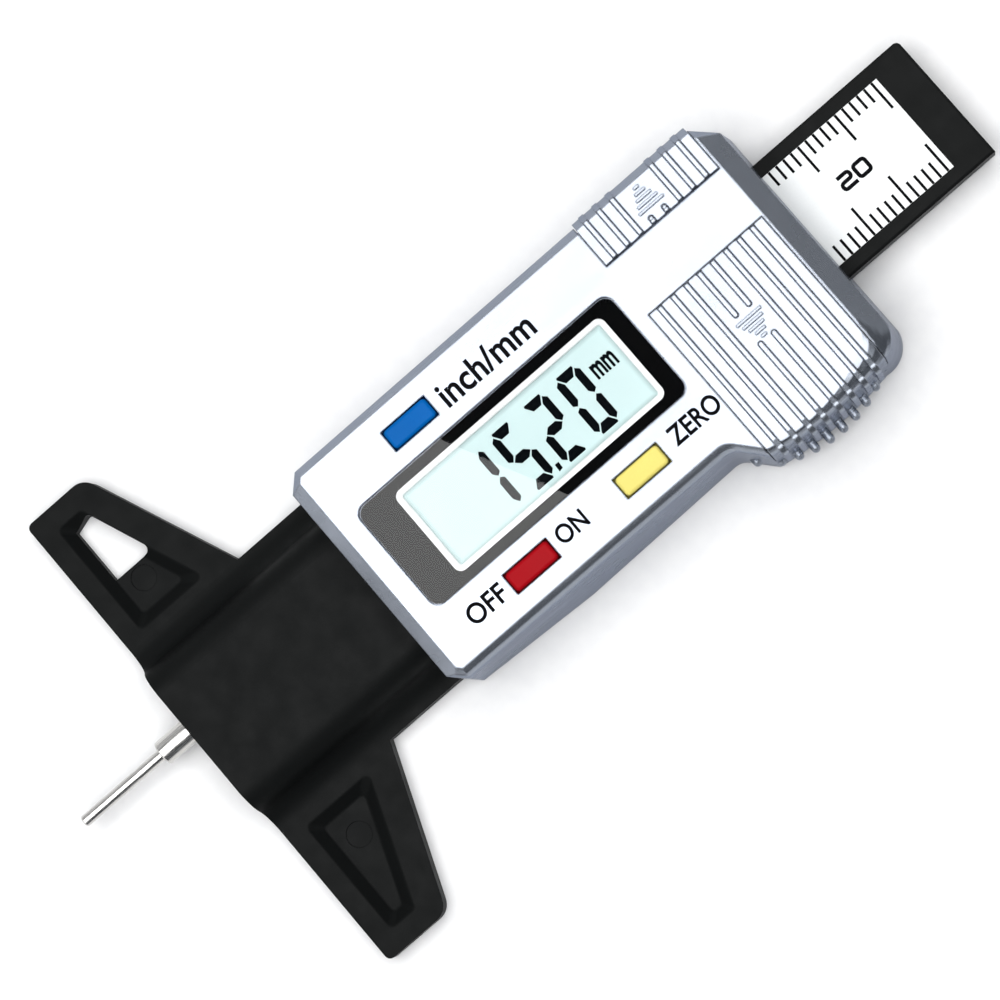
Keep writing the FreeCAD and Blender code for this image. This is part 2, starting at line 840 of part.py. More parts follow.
def arrow(body, tail, step):
    """A small arrow of upright bars that get shorter towards its point."""
    for bar in range(5):
        start = f"{tail} + {step} * {bar} * arrow_pitch"
        reach = f"arrow_height / 2 * (1 - {bar} / 5)"
        block(body, (start, f"{start} + arrow_bar"), (f"lid_mid - {reach}", f"lid_mid + {reach}"),
              ("plate_top - gap", "plate_top + arrow_rise"))


def rib_over_edge(body, along, inner, edge, wall):
    """A battery lid's rib from the plate over the rounded edge and down the skirt."""
    corners = [
        (inner, "plate_top - rib_rise"),
        (f"{edge} - rib_root", "plate_top - rib_rise"),
        (f"{wall} - rib_root", "shoulder_z - rib_root"),
        (f"{wall} - rib_root", "lid_skirt"),
        (f"{wall} + rib_side", "lid_skirt"),
        (f"{wall} + rib_side * 0.7", "shoulder_z", "rib_bend"),
        (f"{wall} - rib_root", "plate_top"),
        (edge, "plate_top + rib_rise"),
        (inner, "plate_top + rib_rise"),
    ]
    profile_along_y(body, corners, f"{along} - rib_width / 2", f"{along} + rib_width / 2")


def cheek(body, low_y, high_y, rise, proud):
    """A stretch of the port lid's left side that stands proud of the cover's bevel and skirt."""
    corners = [
        ("port_lid_x", f"plate_top + {rise}"),
        (f"-(top_half + {proud})", f"plate_top + {rise}"),
        (f"-(shoulder_half + {proud})", "shoulder_z"),
        (f"-(shoulder_half + {proud})", "lid_skirt"),
        ("-shoulder_half + rib_root", "lid_skirt"),
        ("-shoulder_half + rib_root", "shoulder_z - rib_root"),
        ("-top_half + rib_root", "plate_top - rib_rise"),
        ("port_lid_x", "plate_top - rib_rise"),
    ]
    profile_along_y(body, corners, low_y, high_y)


MIDDLE_RIBS = (3, 4)


def short_rib(body, along, low_x, high_x):
    block(body, (low_x, high_x), (f"{along} - rib_width / 2", f"{along} + rib_width / 2"),
          ("plate_top - gap", "plate_top + rib_rise"))


def round_rib_ends(body, ends):
    """Rounds the ends of the short ribs beside the arrow, seen from above."""
    places = [value(end) for end in ends]
    fillet(body, "rib_end", lambda middle, run: is_upright(run) and middle.z > value("plate_top")
           and any(abs(middle.x - place) < 0.01 for place in places))


def soften_ribs(body):
    """Rounds the top edges of the ribs."""
    fillet(body, "rib_round", lambda middle, run: middle.z > value("plate_top + rib_rise") - 0.01)


def battery_cover():
    body = new_body("battery_cover")
    envelope(body)
    trim_outside(body, "battery_lid_x", "sky")
    block(body, ("-sky", "battery_skirt_in"), ("0", "sky * 5"), ("ground", "lid_under"), cut=True)
    block(body, ("-sky", "sky"), ("0", "sky * 5"), ("ground", "lid_skirt"), cut=True)
    block(body, ("battery_lid_x - tab_reach", "battery_lid_x + 1"), TAB, ("lid_under", "tab_top"))
    before, after = "arrow_right - arrow_clear", "arrow_right + arrow_pitch * 5 - arrow_bar"
    for number, along in enumerate(rib_places()):
        start = after if number in MIDDLE_RIBS else "battery_lid_x"
        wall = bulge_wall(along)
        rib_over_edge(body, along, start, f"{wall} - rib_run", wall)
        if number in MIDDLE_RIBS:
            short_rib(body, along, "battery_lid_x", before)
    round_rib_ends(body, (before, after))
    soften_ribs(body)
    arrow(body, "arrow_right", 1)
    return body


def port_cover():
    body = new_body("port_cover")
    envelope(body)
    trim_outside(body, "-sky", "port_lid_x")
    block(body, ("port_skirt_in", "sky"), ("0", "sky * 5"), ("ground", "lid_under"), cut=True)
    block(body, ("-sky", "sky"), ("0", "sky * 5"), ("ground", "lid_skirt"), cut=True)
    block(body, ("port_lid_x - 1", "port_lid_x + tab_reach"), TAB, ("lid_under", "tab_top"))
    cheek(body, "lid_low", "lid_high", "0", "port_proud")
    before = "arrow_left + arrow_bar + arrow_clear"
    for number, along in enumerate(rib_places()):
        if number in MIDDLE_RIBS:
            short_rib(body, along, before, "port_lid_x")
        else:
            low_y, high_y = f"{along} - rib_width / 2", f"{along} + rib_width / 2"
            cheek(body, low_y, high_y, "rib_rise", "(port_proud + port_lip)")
    round_rib_ends(body, (before,))
    soften_ribs(body)
    arrow(body, "arrow_left", -1)
    return body


# ---------------------------------------------------------------- display

def rounded_plate(label, half, low_y, high_y, low, high, corner):
    body = new_body(label)
    block(body, (f"-{half}", half), (low_y, high_y), (low, high))
    fillet(body, corner, lambda middle, run: is_upright(run))
    return body


LENS_PLAN = ("lens_half", "lens_low", "lens_high")


def display_lens():
    return rounded_plate("display_lens", *LENS_PLAN, "lens_under", "lens_top", "lens_corner")


def lens_mask():
    body = rounded_plate("lens_mask", *LENS_PLAN, "ledge", "lens_under", "lens_corner")
    block(body, ("-window_half", "window_half"), ("window_low", "window_high"),
          ("ceiling", "sky"), cut=True)
    opening = ("-window_half - gap", "window_half + gap", "window_low - gap", "window_high + gap")
    fillet(body, "window_corner", upright_within(*opening))
    return body


def lcd_frame():
    """White frame that holds the display stack down on the circuit board."""
    body = new_body("lcd_frame")
    block(body, ("-bezel_body_half", "bezel_body_half"),
          ("window_low - bezel_body_grow", "window_high + bezel_body_grow"), (BOARD_TOP, "bezel_body_top"))
    block(body, ("-window_half - bezel_step", "window_half + bezel_step"),
          ("window_low - bezel_step", "window_high + bezel_step"), ("bezel_body_top - gap", "bezel_top"))
    block(body, ("-glass_half - gap", "glass_half + gap"), ("glass_low - gap", "glass_high + gap"),
          ("ground", "bezel_top - bezel_lip"), cut=True)
    block(body, ("-bezel_half", "bezel_half"), ("bezel_low", "bezel_high"), ("ground", "sky"), cut=True)
    opening = ("-bezel_half - gap", "bezel_half + gap", "bezel_low - gap", "bezel_high + gap")
    fillet(body, "bezel_corner", upright_within(*opening))
    low_x, high_x, low_y, high_y = (value(text) for text in opening)
    chamfer(body, "bezel_corner / 2", lambda middle, run: middle.z > value("bezel_top") - 0.01
            and low_x < middle.x < high_x and low_y < middle.y < high_y)
    return body


FILM_TOP = "bezel_top - bezel_lip"
FRONT_GLASS_TOP = f"{FILM_TOP} - film_thick"
REAR_GLASS_TOP = f"{FRONT_GLASS_TOP} - glass_thick"
REFLECTOR_TOP = f"{REAR_GLASS_TOP} - glass_thick"


def display_sheet(label, half, top, thick):
    body = new_body(label)
    block(body, (f"-({half})", half), ("glass_low", "glass_high"), (f"{top} - {thick}", top))
    return body


def zebra_strips():
    body = new_body("zebra_strips")
    for side in ("-glass_half + play", "glass_half - play - strip_width"):
        block(body, (side, f"{side} + strip_width"), ("glass_low + 1", "glass_high - 1"),
              (BOARD_TOP, REAR_GLASS_TOP))
    return body


# ---------------------------------------------------------------- electronics

def circuit_board():
    body = new_body("circuit_board")
    corners = [
        ("-board_half", "board_low"),
        ("board_half", "board_low"),
        ("board_half", "swell_low + 1"),
        ("inner_swell - 2 * gap", "swell_side_low + 1"),
        ("inner_swell - 2 * gap", "board_high - tray_cut"),
        ("inner_swell - tray_cut", "board_high"),
        ("-board_half + tray_cut", "board_high"),
        ("-board_half", "board_high - tray_cut"),
    ]
    plate(body, corners, "rail_top", BOARD_TOP)
    for across, along in BOSSES:
        block(body, (f"{across} - boss_notch", f"{across} + boss_notch"),
              (f"{along} - boss_notch", f"{along} + boss_notch"), ("floor_top", "sky"), cut=True)
    return body


def controller_chip():
    """The blob of black resin over the measuring chip."""
    body = new_body("controller_chip")
    top = f"{BOARD_TOP} + chip_rise"
    post(body, "0", "chip_y", "chip_radius", BOARD_TOP, top)
    fillet(body, "chip_rise * 0.8", lambda middle, run: middle.z > value(top) - 0.01)
    return body


def small_components():
    """Two rows of chip parts beside each other on the board."""
    body = new_body("small_components")
    for row in range(4):
        for side in (-1, 1):
            start = f"{side} * part_x - chip_size / 2"
            low = f"chip_y + chip_radius + part_gap + {row} * chip_size * 2"
            block(body, (start, f"{start} + chip_size"), (low, f"{low} + chip_size * 0.6"),
                  (BOARD_TOP, f"{BOARD_TOP} + chip_size * 0.5"))
    return body


def port_contacts():
    """The four gold pads at the bottom of the data port."""
    body = new_body("port_contacts")
    for place in (-1.5, -0.5, 0.5, 1.5):
        centre = f"lid_mid + {place} * pad_pitch"
        block(body, ("port_low_x + pad_inset", "port_high_x - pad_inset"),
              (f"{centre} - pad_half", f"{centre} + pad_half"), (BOARD_TOP, f"{BOARD_TOP} + pad_thick"))
    return body


# ---------------------------------------------------------------- buttons

def button(name):
    across, along = BUTTONS[name]
    body = new_body("button_" + name)
    block(body, (f"{across} - button_width / 2", f"{across} + button_width / 2"),
          (f"{along} - button_length / 2", f"{along} + button_length / 2"), ("flange_low", "button_top"))
    fillet(body, "button_round", lambda middle, run: is_upright(run))
    fillet(body, "button_crown", lambda middle, run: middle.z > value("button_top") - 0.01)
    grow_x = "(button_width / 2 + flange_grow)"
    grow_y = "(button_length / 2 + flange_grow)"
    block(body, (f"{across} - {grow_x}", f"{across} + {grow_x}"),
          (f"{along} - {grow_y}", f"{along} + {grow_y}"), ("flange_low", "ceiling - play"))
    post(body, across, along, "stem_radius", f"{BOARD_TOP} + dome_rise", "flange_low + gap")
    return body


def key_dome(name):
    """A silicone dome on the board that pushes the button's stem back up."""
    across, along = BUTTONS[name]
    body = new_body("key_dome_" + name)
    rim = f"{BOARD_TOP} + dome_rise / 2"
    post(body, across, along, "dome_radius", BOARD_TOP, rim)
    post(body, across, along, "stem_radius", BOARD_TOP, f"{BOARD_TOP} + dome_rise")
    fillet(body, "dome_neck / 2", lambda middle, run: abs(middle.z - value(rim)) < 0.01
           and abs(middle.x - value(across)) > value("stem_radius") + 0.1)
    return body


# ---------------------------------------------------------------- battery

def battery_cell():
    """The button cell's three pieces, with the plus side up: can, seal and minus cap."""
    can = new_body("battery_can")
    post(can, "cell_x", "cell_y", "cell_radius", "cell_low + cell_cap_rise", "cell_high")
    chamfer(can, "cell_seal", lambda middle, run: middle.z > value("cell_high") - 0.01)
    post(can, "cell_x", "cell_y", "cell_cap_radius + cell_seal", "cell_low",
         "cell_low + cell_cap_rise * 2", cut=True)
    seal = new_body("battery_seal")
    low = "cell_low + cell_cap_rise * 0.5"
    post(seal, "cell_x", "cell_y", "cell_cap_radius + cell_seal", low, "cell_low + cell_cap_rise * 2")
    post(seal, "cell_x", "cell_y", "cell_cap_radius", "floor_top", "cell_high", cut=True)
    cap = new_body("battery_cap")
    post(cap, "cell_x", "cell_y", "cell_cap_radius", "cell_low", "cell_low + cell_cap_rise * 2")
    return [can, seal, cap]


def battery_contacts():
    """A leaf under the cell's cap, and a strip that stands against the side of its can."""
    minus = new_body("battery_contact_minus")
    along = ("cell_y - leaf_half", "cell_y + leaf_half")
    bend = ("cell_x - leaf_reach - contact_thick", "cell_x - leaf_reach")
    block(minus, ("cell_x - contact_foot", "cell_x - leaf_reach"), along,
          (BOARD_TOP, f"{BOARD_TOP} + contact_thick"))
    block(minus, bend, along, (BOARD_TOP, "cell_low"))
    block(minus, (bend[0], "cell_x + leaf_reach"), along, ("cell_low - contact_thick", "cell_low"))
    plus = new_body("battery_contact_plus")
    wall = "cell_x - cell_radius - contact_thick"
    along = ("cell_y - contact_half", "cell_y + contact_half")
    block(plus, (wall, f"{wall} + contact_thick"), along, (BOARD_TOP, "cell_high - 1"))
    block(plus, (wall, f"{wall} + 1"), along, (BOARD_TOP, f"{BOARD_TOP} + contact_thick"))
    return [minus, plus]


# ---------------------------------------------------------------- slide and probe

def slide_bar():
    body = new_body("slide_bar")
    block(body, ("-slide_half", "slide_half"), ("slide_low", "slide_high"), ("slide_under", "slide_top"))
    fillet(body, "slide_corner", lambda middle, run: is_upright(run) and middle.x < 0)
    chamfer(body, "slide_edge", lambda middle, run: middle.z > value("slide_top") - 0.01)
    block(body, ("-scale_half", "scale_half"), ("scale_low", "scale_high"),
          ("slide_top - scale_thick", "sky"), cut=True)
    block(body, ("-groove_half", "groove_half"), ("groove_low", "groove_high"),
          ("ground", "slide_under + groove_deep"), cut=True)
    rod(body, "probe_x", "probe_z", "sleeve_neck", "slide_low - 1", "sleeve_root", cut=True)
    return body


def scale_plate():
    body = new_body("scale_plate")
    block(body, ("-scale_half", "scale_half"), ("scale_low", "scale_high"),
          ("slide_top - scale_thick", "slide_top - play"))
    return body


def probe():
    """The probe's stepped end: a steel pin held in a steel sleeve."""
    sleeve = new_body("probe_sleeve")
    rod(sleeve, "probe_x", "probe_z", "sleeve_radius", "sleeve_tip", "slide_low")
    rod(sleeve, "probe_x", "probe_z", "sleeve_neck", "slide_low", "sleeve_root")
    chamfer(sleeve, "probe_edge", lambda middle, run: middle.y < value("sleeve_tip") + 0.01)
    rod(sleeve, "probe_x", "probe_z", "pin_radius", "sleeve_tip - 1", "pin_root", cut=True)
    pin = new_body("probe_pin")
    rod(pin, "probe_x", "probe_z", "pin_radius", "pin_tip", "pin_root")
    chamfer(pin, "probe_edge", lambda middle, run: middle.y < value("pin_tip") + 0.01)
    return [sleeve, pin]


# ---------------------------------------------------------------- fasteners

def screw(body, across, along, tip):
    """A pan screw, driven from the back, with a cross recess in its head."""
    post(body, across, along, "head_radius", "head_low", "head_high")
    post(body, across, along, "shank_radius", "head_high - play", tip)
    for reach_x, reach_y in (("cross_reach", "cross_half"), ("cross_half", "cross_reach")):
        block(body, (f"{across} - {reach_x}", f"{across} + {reach_x}"),
              (f"{along} - {reach_y}", f"{along} + {reach_y}"),
              ("ground", "head_low + cross_deep"), cut=True)


def back_screws():
    body = new_body("back_screws")
    for across, along in BOSSES:
        screw(body, across, along, "screw_tip")
    return body


def stop_screw():
    body = new_body("stop_screw")
    screw(body, "0", "stop_y", "stop_tip")
    return body


def drag_spring():
    """A bowed leaf in the floor that rubs on the slide and holds it where it is put."""
    body = new_body("drag_spring")
    top = "slide_under - spring_play"
    middle = "(spring_low + spring_high) / 2"
    sketch = new_sketch(body, "YZ_Plane", "-spring_half")
    draw_loop(sketch, [
        ("spring_low", "spring_seat"),
        (f"{middle} - spring_flat", f"{top} - spring_thick"),
        (f"{middle} + spring_flat", f"{top} - spring_thick"),
        ("spring_high", "spring_seat"),
        ("spring_high", "spring_seat + spring_thick"),
        (f"{middle} + spring_flat", top),
        (f"{middle} - spring_flat", top),
        ("spring_low", "spring_seat + spring_thick"),
    ])
    extrude(body, sketch, "spring_half * 2", False)
    return body


# ---------------------------------------------------------------- build and save

def build_all():
    bodies = [base_housing(), front_cover(), battery_cover(), port_cover()]
    bodies += [display_lens(), lens_mask(), lcd_frame(), zebra_strips()]
    bodies += [
        display_sheet("lcd_polariser", "glass_half", FILM_TOP, "film_thick"),
        display_sheet("lcd_front_glass", "glass_half", FRONT_GLASS_TOP, "glass_thick"),
        display_sheet("lcd_rear_glass", "glass_half - glass_ledge", REAR_GLASS_TOP, "glass_thick"),
        display_sheet("lcd_reflector", "glass_half - glass_ledge", REFLECTOR_TOP, "film_thick"),
    ]
    bodies += [circuit_board(), controller_chip(), small_components(), port_contacts()]
    for name in BUTTONS:
        bodies += [button(name), key_dome(name)]
    bodies += battery_cell() + battery_contacts()
    bodies += [slide_bar(), scale_plate()] + probe()
    bodies += [back_screws(), stop_screw(), drag_spring()]
    return bodies


def check_and_save(bodies):
    doc.recompute()
    for item in doc.Objects:
        if {"Invalid", "Error"} & set(item.State):
            raise RuntimeError(f"{item.Name} ({item.Label}) did not recompute: {item.State}")
    for body in bodies:
        if body.Shape.isNull() or not body.Shape.isValid():
            raise RuntimeError(f"{body.Label} has no valid shape")
    os.makedirs("parts", exist_ok=True)
    for body in bodies:
        body.Shape.exportStep(f"parts/{body.Label}.step")
        print(f"{body.Label:24s} {len(body.Shape.Solids):3d} solids {body.Shape.Volume:10.2f} mm3")


fill_sheet()
check_and_save(build_all())
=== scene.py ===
"""Looks of the digital tyre tread depth gauge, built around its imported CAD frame.

The row frame: X across, Y along the slide, Z up out of the display. Sizes named here are in
millimetres and are turned into metres where they are used.
"""
import json
import math

import bmesh
import bpy
from mathutils import Matrix, Vector


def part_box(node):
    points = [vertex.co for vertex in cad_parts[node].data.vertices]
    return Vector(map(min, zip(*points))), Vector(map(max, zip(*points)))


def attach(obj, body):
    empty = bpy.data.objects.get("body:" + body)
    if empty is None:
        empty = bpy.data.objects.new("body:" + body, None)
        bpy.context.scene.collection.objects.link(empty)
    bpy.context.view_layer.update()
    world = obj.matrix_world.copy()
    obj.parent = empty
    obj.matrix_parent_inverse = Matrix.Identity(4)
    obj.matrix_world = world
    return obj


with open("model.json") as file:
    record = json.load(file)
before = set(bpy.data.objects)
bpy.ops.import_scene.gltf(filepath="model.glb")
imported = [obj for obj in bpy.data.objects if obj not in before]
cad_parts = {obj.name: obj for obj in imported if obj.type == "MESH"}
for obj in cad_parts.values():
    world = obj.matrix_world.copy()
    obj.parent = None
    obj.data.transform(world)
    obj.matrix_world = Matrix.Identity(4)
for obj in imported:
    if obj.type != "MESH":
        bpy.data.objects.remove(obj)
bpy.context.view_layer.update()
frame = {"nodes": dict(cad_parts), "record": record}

MM = 0.001
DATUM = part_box("base_housing")[0].y
COVER_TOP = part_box("display_lens")[1].z + 0.05 * MM
SCALE_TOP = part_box("scale_plate")[1].z
GLASS_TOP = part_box("lcd_polariser")[1].z
INK_THICK = 0.02 * MM

bpy.context.scene.view_settings.view_transform = "Standard"


# ---------------------------------------------------------------- camera

def aim_camera():
    """Looks down on the display, a little from the right and from the slide's end."""
    tilt_x, tilt_y, turn = math.radians(6.75), math.radians(3.66), math.radians(49.2)
    back = Vector((math.tan(tilt_x), math.tan(tilt_y), 1)).normalized()
    right = Vector((0, 1, 0)).cross(back).normalized()
    above = back.cross(right)
    lean = math.radians(-0.2)
    across = right * math.cos(lean) + above * math.sin(lean)
    up = above * math.cos(lean) - right * math.sin(lean)
    photo_right = across * math.cos(turn) + up * math.sin(turn)
    photo_up = up * math.cos(turn) - across * math.sin(turn)
    target = Vector((1.53 * MM, DATUM + 40.48 * MM, 7 * MM))
    camera = bpy.data.objects.new("camera", bpy.data.cameras.new("camera"))
    bpy.context.scene.collection.objects.link(camera)
    turned = Matrix((photo_right, photo_up, back)).transposed()
    camera.matrix_world = Matrix.Translation(target + back * 400.1 * MM) @ turned.to_4x4()
    camera.data.lens = 139.1
    camera.data.sensor_width = 36
    camera.data.clip_start = 0.01
    bpy.context.scene.camera = camera


# ---------------------------------------------------------------- materials

class Nodes:
    """A small helper that adds nodes to one material and links them."""

    def __init__(self, name):
        self.material = bpy.data.materials.new(name)
        self.material.use_nodes = True
        self.tree = self.material.node_tree
        self.shader = self.tree.nodes["Principled BSDF"]
        self.place = self.add("ShaderNodeTexCoord").outputs["Object"]

    def add(self, kind, **settings):
        node = self.tree.nodes.new(kind)
        for key, setting in settings.items():
            setattr(node, key, setting)
        return node

    def link(self, source, target):
        self.tree.links.new(source, target)

    def noise(self, size_mm, detail=3.0, stretch=(1, 1, 1), rough=0.5):
        """Noise whose grains are about size_mm across."""
        spread = self.add("ShaderNodeMapping")
        spread.inputs["Scale"].default_value = stretch
        self.link(self.place, spread.inputs["Vector"])
        grain = self.add("ShaderNodeTexNoise")
        grain.inputs["Scale"].default_value = 1 / (size_mm * MM)
        grain.inputs["Detail"].default_value = detail
        grain.inputs["Roughness"].default_value = rough
        self.link(spread.outputs["Vector"], grain.inputs["Vector"])
        return grain.outputs["Fac"]

    def spread(self, source, low, high, from_low=0.3, from_high=0.7):
        """source's middle range turned into low to high."""
        ranged = self.add("ShaderNodeMapRange")
        ranged.inputs["From Min"].default_value = from_low
        ranged.inputs["From Max"].default_value = from_high
        ranged.inputs["To Min"].default_value = low
        ranged.inputs["To Max"].default_value = high
        self.link(source, ranged.inputs["Value"])
        return ranged.outputs["Result"]

    def mix(self, amount, first, second):
        """A colour between first and second. Each is a colour or another node's output."""
        blend = self.add("ShaderNodeMix", data_type="RGBA")
        self.link(amount, blend.inputs["Factor"])
        for socket, colour in ((blend.inputs["A"], first), (blend.inputs["B"], second)):
            if isinstance(colour, tuple):
                socket.default_value = (*colour, 1)
            else:
                self.link(colour, socket)
        return blend.outputs["Result"]

    def calculate(self, operation, *values):
        """The result of a math operation. Each value is a number or another node's output."""
        result = self.add("ShaderNodeMath", operation=operation)
        for socket, setting in zip(result.inputs, values):
            if isinstance(setting, float):
                socket.default_value = setting
            else:
                self.link(setting, socket)
        return result.outputs["Value"]

    def bump(self, height, depth_mm, normal=None):
        raised = self.add("ShaderNodeBump")
        raised.inputs["Distance"].default_value = depth_mm * MM
        raised.inputs["Strength"].default_value = 1.0
        self.link(height, raised.inputs["Height"])
        if normal is not None:
            self.link(normal, raised.inputs["Normal"])
        return raised.outputs["Normal"]

    def soft_edges(self, radius_mm):
        bevel = self.add("ShaderNodeBevel", samples=4)
        bevel.inputs["Radius"].default_value = radius_mm * MM
        return bevel.outputs["Normal"]

    def set(self, **sockets):
        for name, setting in sockets.items():
            self.shader.inputs[name.replace("_", " ")].default_value = setting


def shade(colour, factor):
    return tuple(min(1.0, channel * factor) for channel in colour)


def moulded(name, colour, rough=0.45, grain_mm=0.12, depth_mm=0.006, vary=0.1, edge_mm=0.12, **sockets):
    """Moulded plastic: fine grain, slow drift of tone, uneven gloss, softened edges."""
    nodes = Nodes(name)
    fine = nodes.noise(grain_mm, 4)
    slow = nodes.noise(9, 2)
    tone = nodes.mix(nodes.spread(slow, 0, 1), shade(colour, 1 - vary), shade(colour, 1 + vary))
    tone = nodes.mix(nodes.spread(fine, 0, 0.35), tone, shade(colour, 1 - 2 * vary))
    nodes.link(tone, nodes.shader.inputs["Base Color"])
    uneven = nodes.spread(nodes.noise(2.5, 3), rough - 0.06, rough + 0.08)
    nodes.link(uneven, nodes.shader.inputs["Roughness"])
    nodes.link(nodes.bump(fine, depth_mm, nodes.soft_edges(edge_mm)), nodes.shader.inputs["Normal"])
    nodes.set(**sockets)
    return nodes.material


def key_plastic(name, colour, vary, specular):
    """Glossier moulded plastic with well rounded edges."""
    return moulded(name, colour, rough=0.32, grain_mm=0.15, depth_mm=0.003, vary=vary, edge_mm=0.15,
                   Specular_IOR_Level=specular)


def metal(name, colour, rough=0.25, stretch=(1, 1, 1), grain_mm=0.3, depth_mm=0.002, edge_mm=0.08):
    """Bare metal with a drawn or ground grain that runs along the stretched axis."""
    nodes = Nodes(name)
    lines = nodes.noise(grain_mm, 5, stretch)
    tone = nodes.mix(nodes.spread(lines, 0, 1), shade(colour, 0.82), shade(colour, 1.1))
    nodes.link(tone, nodes.shader.inputs["Base Color"])
    nodes.link(nodes.spread(lines, rough - 0.07, rough + 0.12), nodes.shader.inputs["Roughness"])
    nodes.link(nodes.bump(lines, depth_mm, nodes.soft_edges(edge_mm)), nodes.shader.inputs["Normal"])
    nodes.set(Metallic=1.0)
    return nodes.material


def silver_lacquer(name, edge_mm):
    """Silver sprayed plastic: metal flake in a pale lacquer, with edges rounded over edge_mm."""
    nodes = Nodes(name)
    colour = (0.30, 0.325, 0.37)
    flake = nodes.noise(0.08, 5)
    slow = nodes.noise(14, 2)
    tone = nodes.mix(nodes.spread(slow, 0, 1), shade(colour, 0.95), shade(colour, 1.05))
    tone = nodes.mix(nodes.spread(flake, 0, 0.3), tone, shade(colour, 1.2))
    nodes.link(tone, nodes.shader.inputs["Base Color"])
    nodes.link(nodes.spread(nodes.noise(3, 3, (1, 0.25, 1)), 0.21, 0.30), nodes.shader.inputs["Roughness"])
    nodes.link(nodes.bump(flake, 0.002, nodes.soft_edges(edge_mm)), nodes.shader.inputs["Normal"])
    nodes.set(Metallic=0.9, Specular_Tint=(0.42, 0.45, 0.53, 1))
    return nodes.material


def clear_acrylic():
    """The lens: clear, hard and glossy, with faint handling marks.

    Lamps shine through it, and only its front mirrors, because its back is bonded to a film.
    """
    nodes = Nodes("clear_acrylic")
    marks = nodes.noise(1.2, 5, (1, 0.3, 1), 0.7)
    nodes.link(nodes.spread(marks, 0.0, 0.03, 0.45, 0.75), nodes.shader.inputs["Roughness"])
    nodes.link(nodes.bump(nodes.noise(6, 1), 0.002), nodes.shader.inputs["Normal"])
    nodes.set(Base_Color=(1, 1, 1, 1), Transmission_Weight=1.0, IOR=1.49)
    rays = nodes.add("ShaderNodeLightPath").outputs
    behind = nodes.add("ShaderNodeNewGeometry").outputs["Backfacing"]
    lamp_ray = nodes.calculate("MAXIMUM", rays["Is Shadow Ray"], rays["Is Diffuse Ray"])
    choice = nodes.add("ShaderNodeMixShader")
    nodes.link(nodes.calculate("MAXIMUM", lamp_ray, behind), choice.inputs["Fac"])
    nodes.link(nodes.shader.outputs["BSDF"], choice.inputs[1])
    nodes.link(nodes.add("ShaderNodeBsdfTransparent").outputs["BSDF"], choice.inputs[2])
    nodes.link(choice.outputs["Shader"], nodes.tree.nodes["Material Output"].inputs["Surface"])
    return nodes.material


def edge_shade(nodes, reach):
    """1 at the middle of a flat sheet, falling to 0 within reach of its edges, as a share of its size: the
    mask of a painted shadow along those edges.
    """
    across = nodes.add("ShaderNodeSeparateXYZ")
    nodes.link(nodes.add("ShaderNodeTexCoord").outputs["Generated"], across.inputs["Vector"])
    sides = []
    for axis, share in zip("XY", reach):
        offset = nodes.calculate("ABSOLUTE", nodes.calculate("SUBTRACT", across.outputs[axis], 0.5))
        sides.append(nodes.spread(offset, 1, 0, 0.5 - 2 * share, 0.5 - share))
    return nodes.calculate("MINIMUM", *sides)


def display_glass():
    """The liquid crystal pane's front film: pale cyan, faintly grained, with a painted shadow beside its
    frame where the frame's lip would shade it.
    """
    nodes = Nodes("display_film")
    slow = nodes.noise(7, 2)
    fine = nodes.noise(0.25, 2)
    tone = nodes.mix(nodes.spread(slow, 0, 1), (0.555, 0.715, 0.71), (0.58, 0.735, 0.73))
    tone = nodes.mix(nodes.spread(fine, 0, 0.12), tone, (0.50, 0.665, 0.66))
    # Painted shadow: the film is darkened toward its edges, where the frame's lip would shade it.
    tone = nodes.mix(edge_shade(nodes, (0.05, 0.019)), (0.37, 0.48, 0.48), tone)
    nodes.link(tone, nodes.shader.inputs["Base Color"])
    nodes.link(nodes.spread(fine, 0.35, 0.5), nodes.shader.inputs["Roughness"])
    nodes.set(Specular_IOR_Level=0.1)
    return nodes.material


BLACK_ABS = (0.005, 0.0056, 0.0056)
MATERIALS = {}


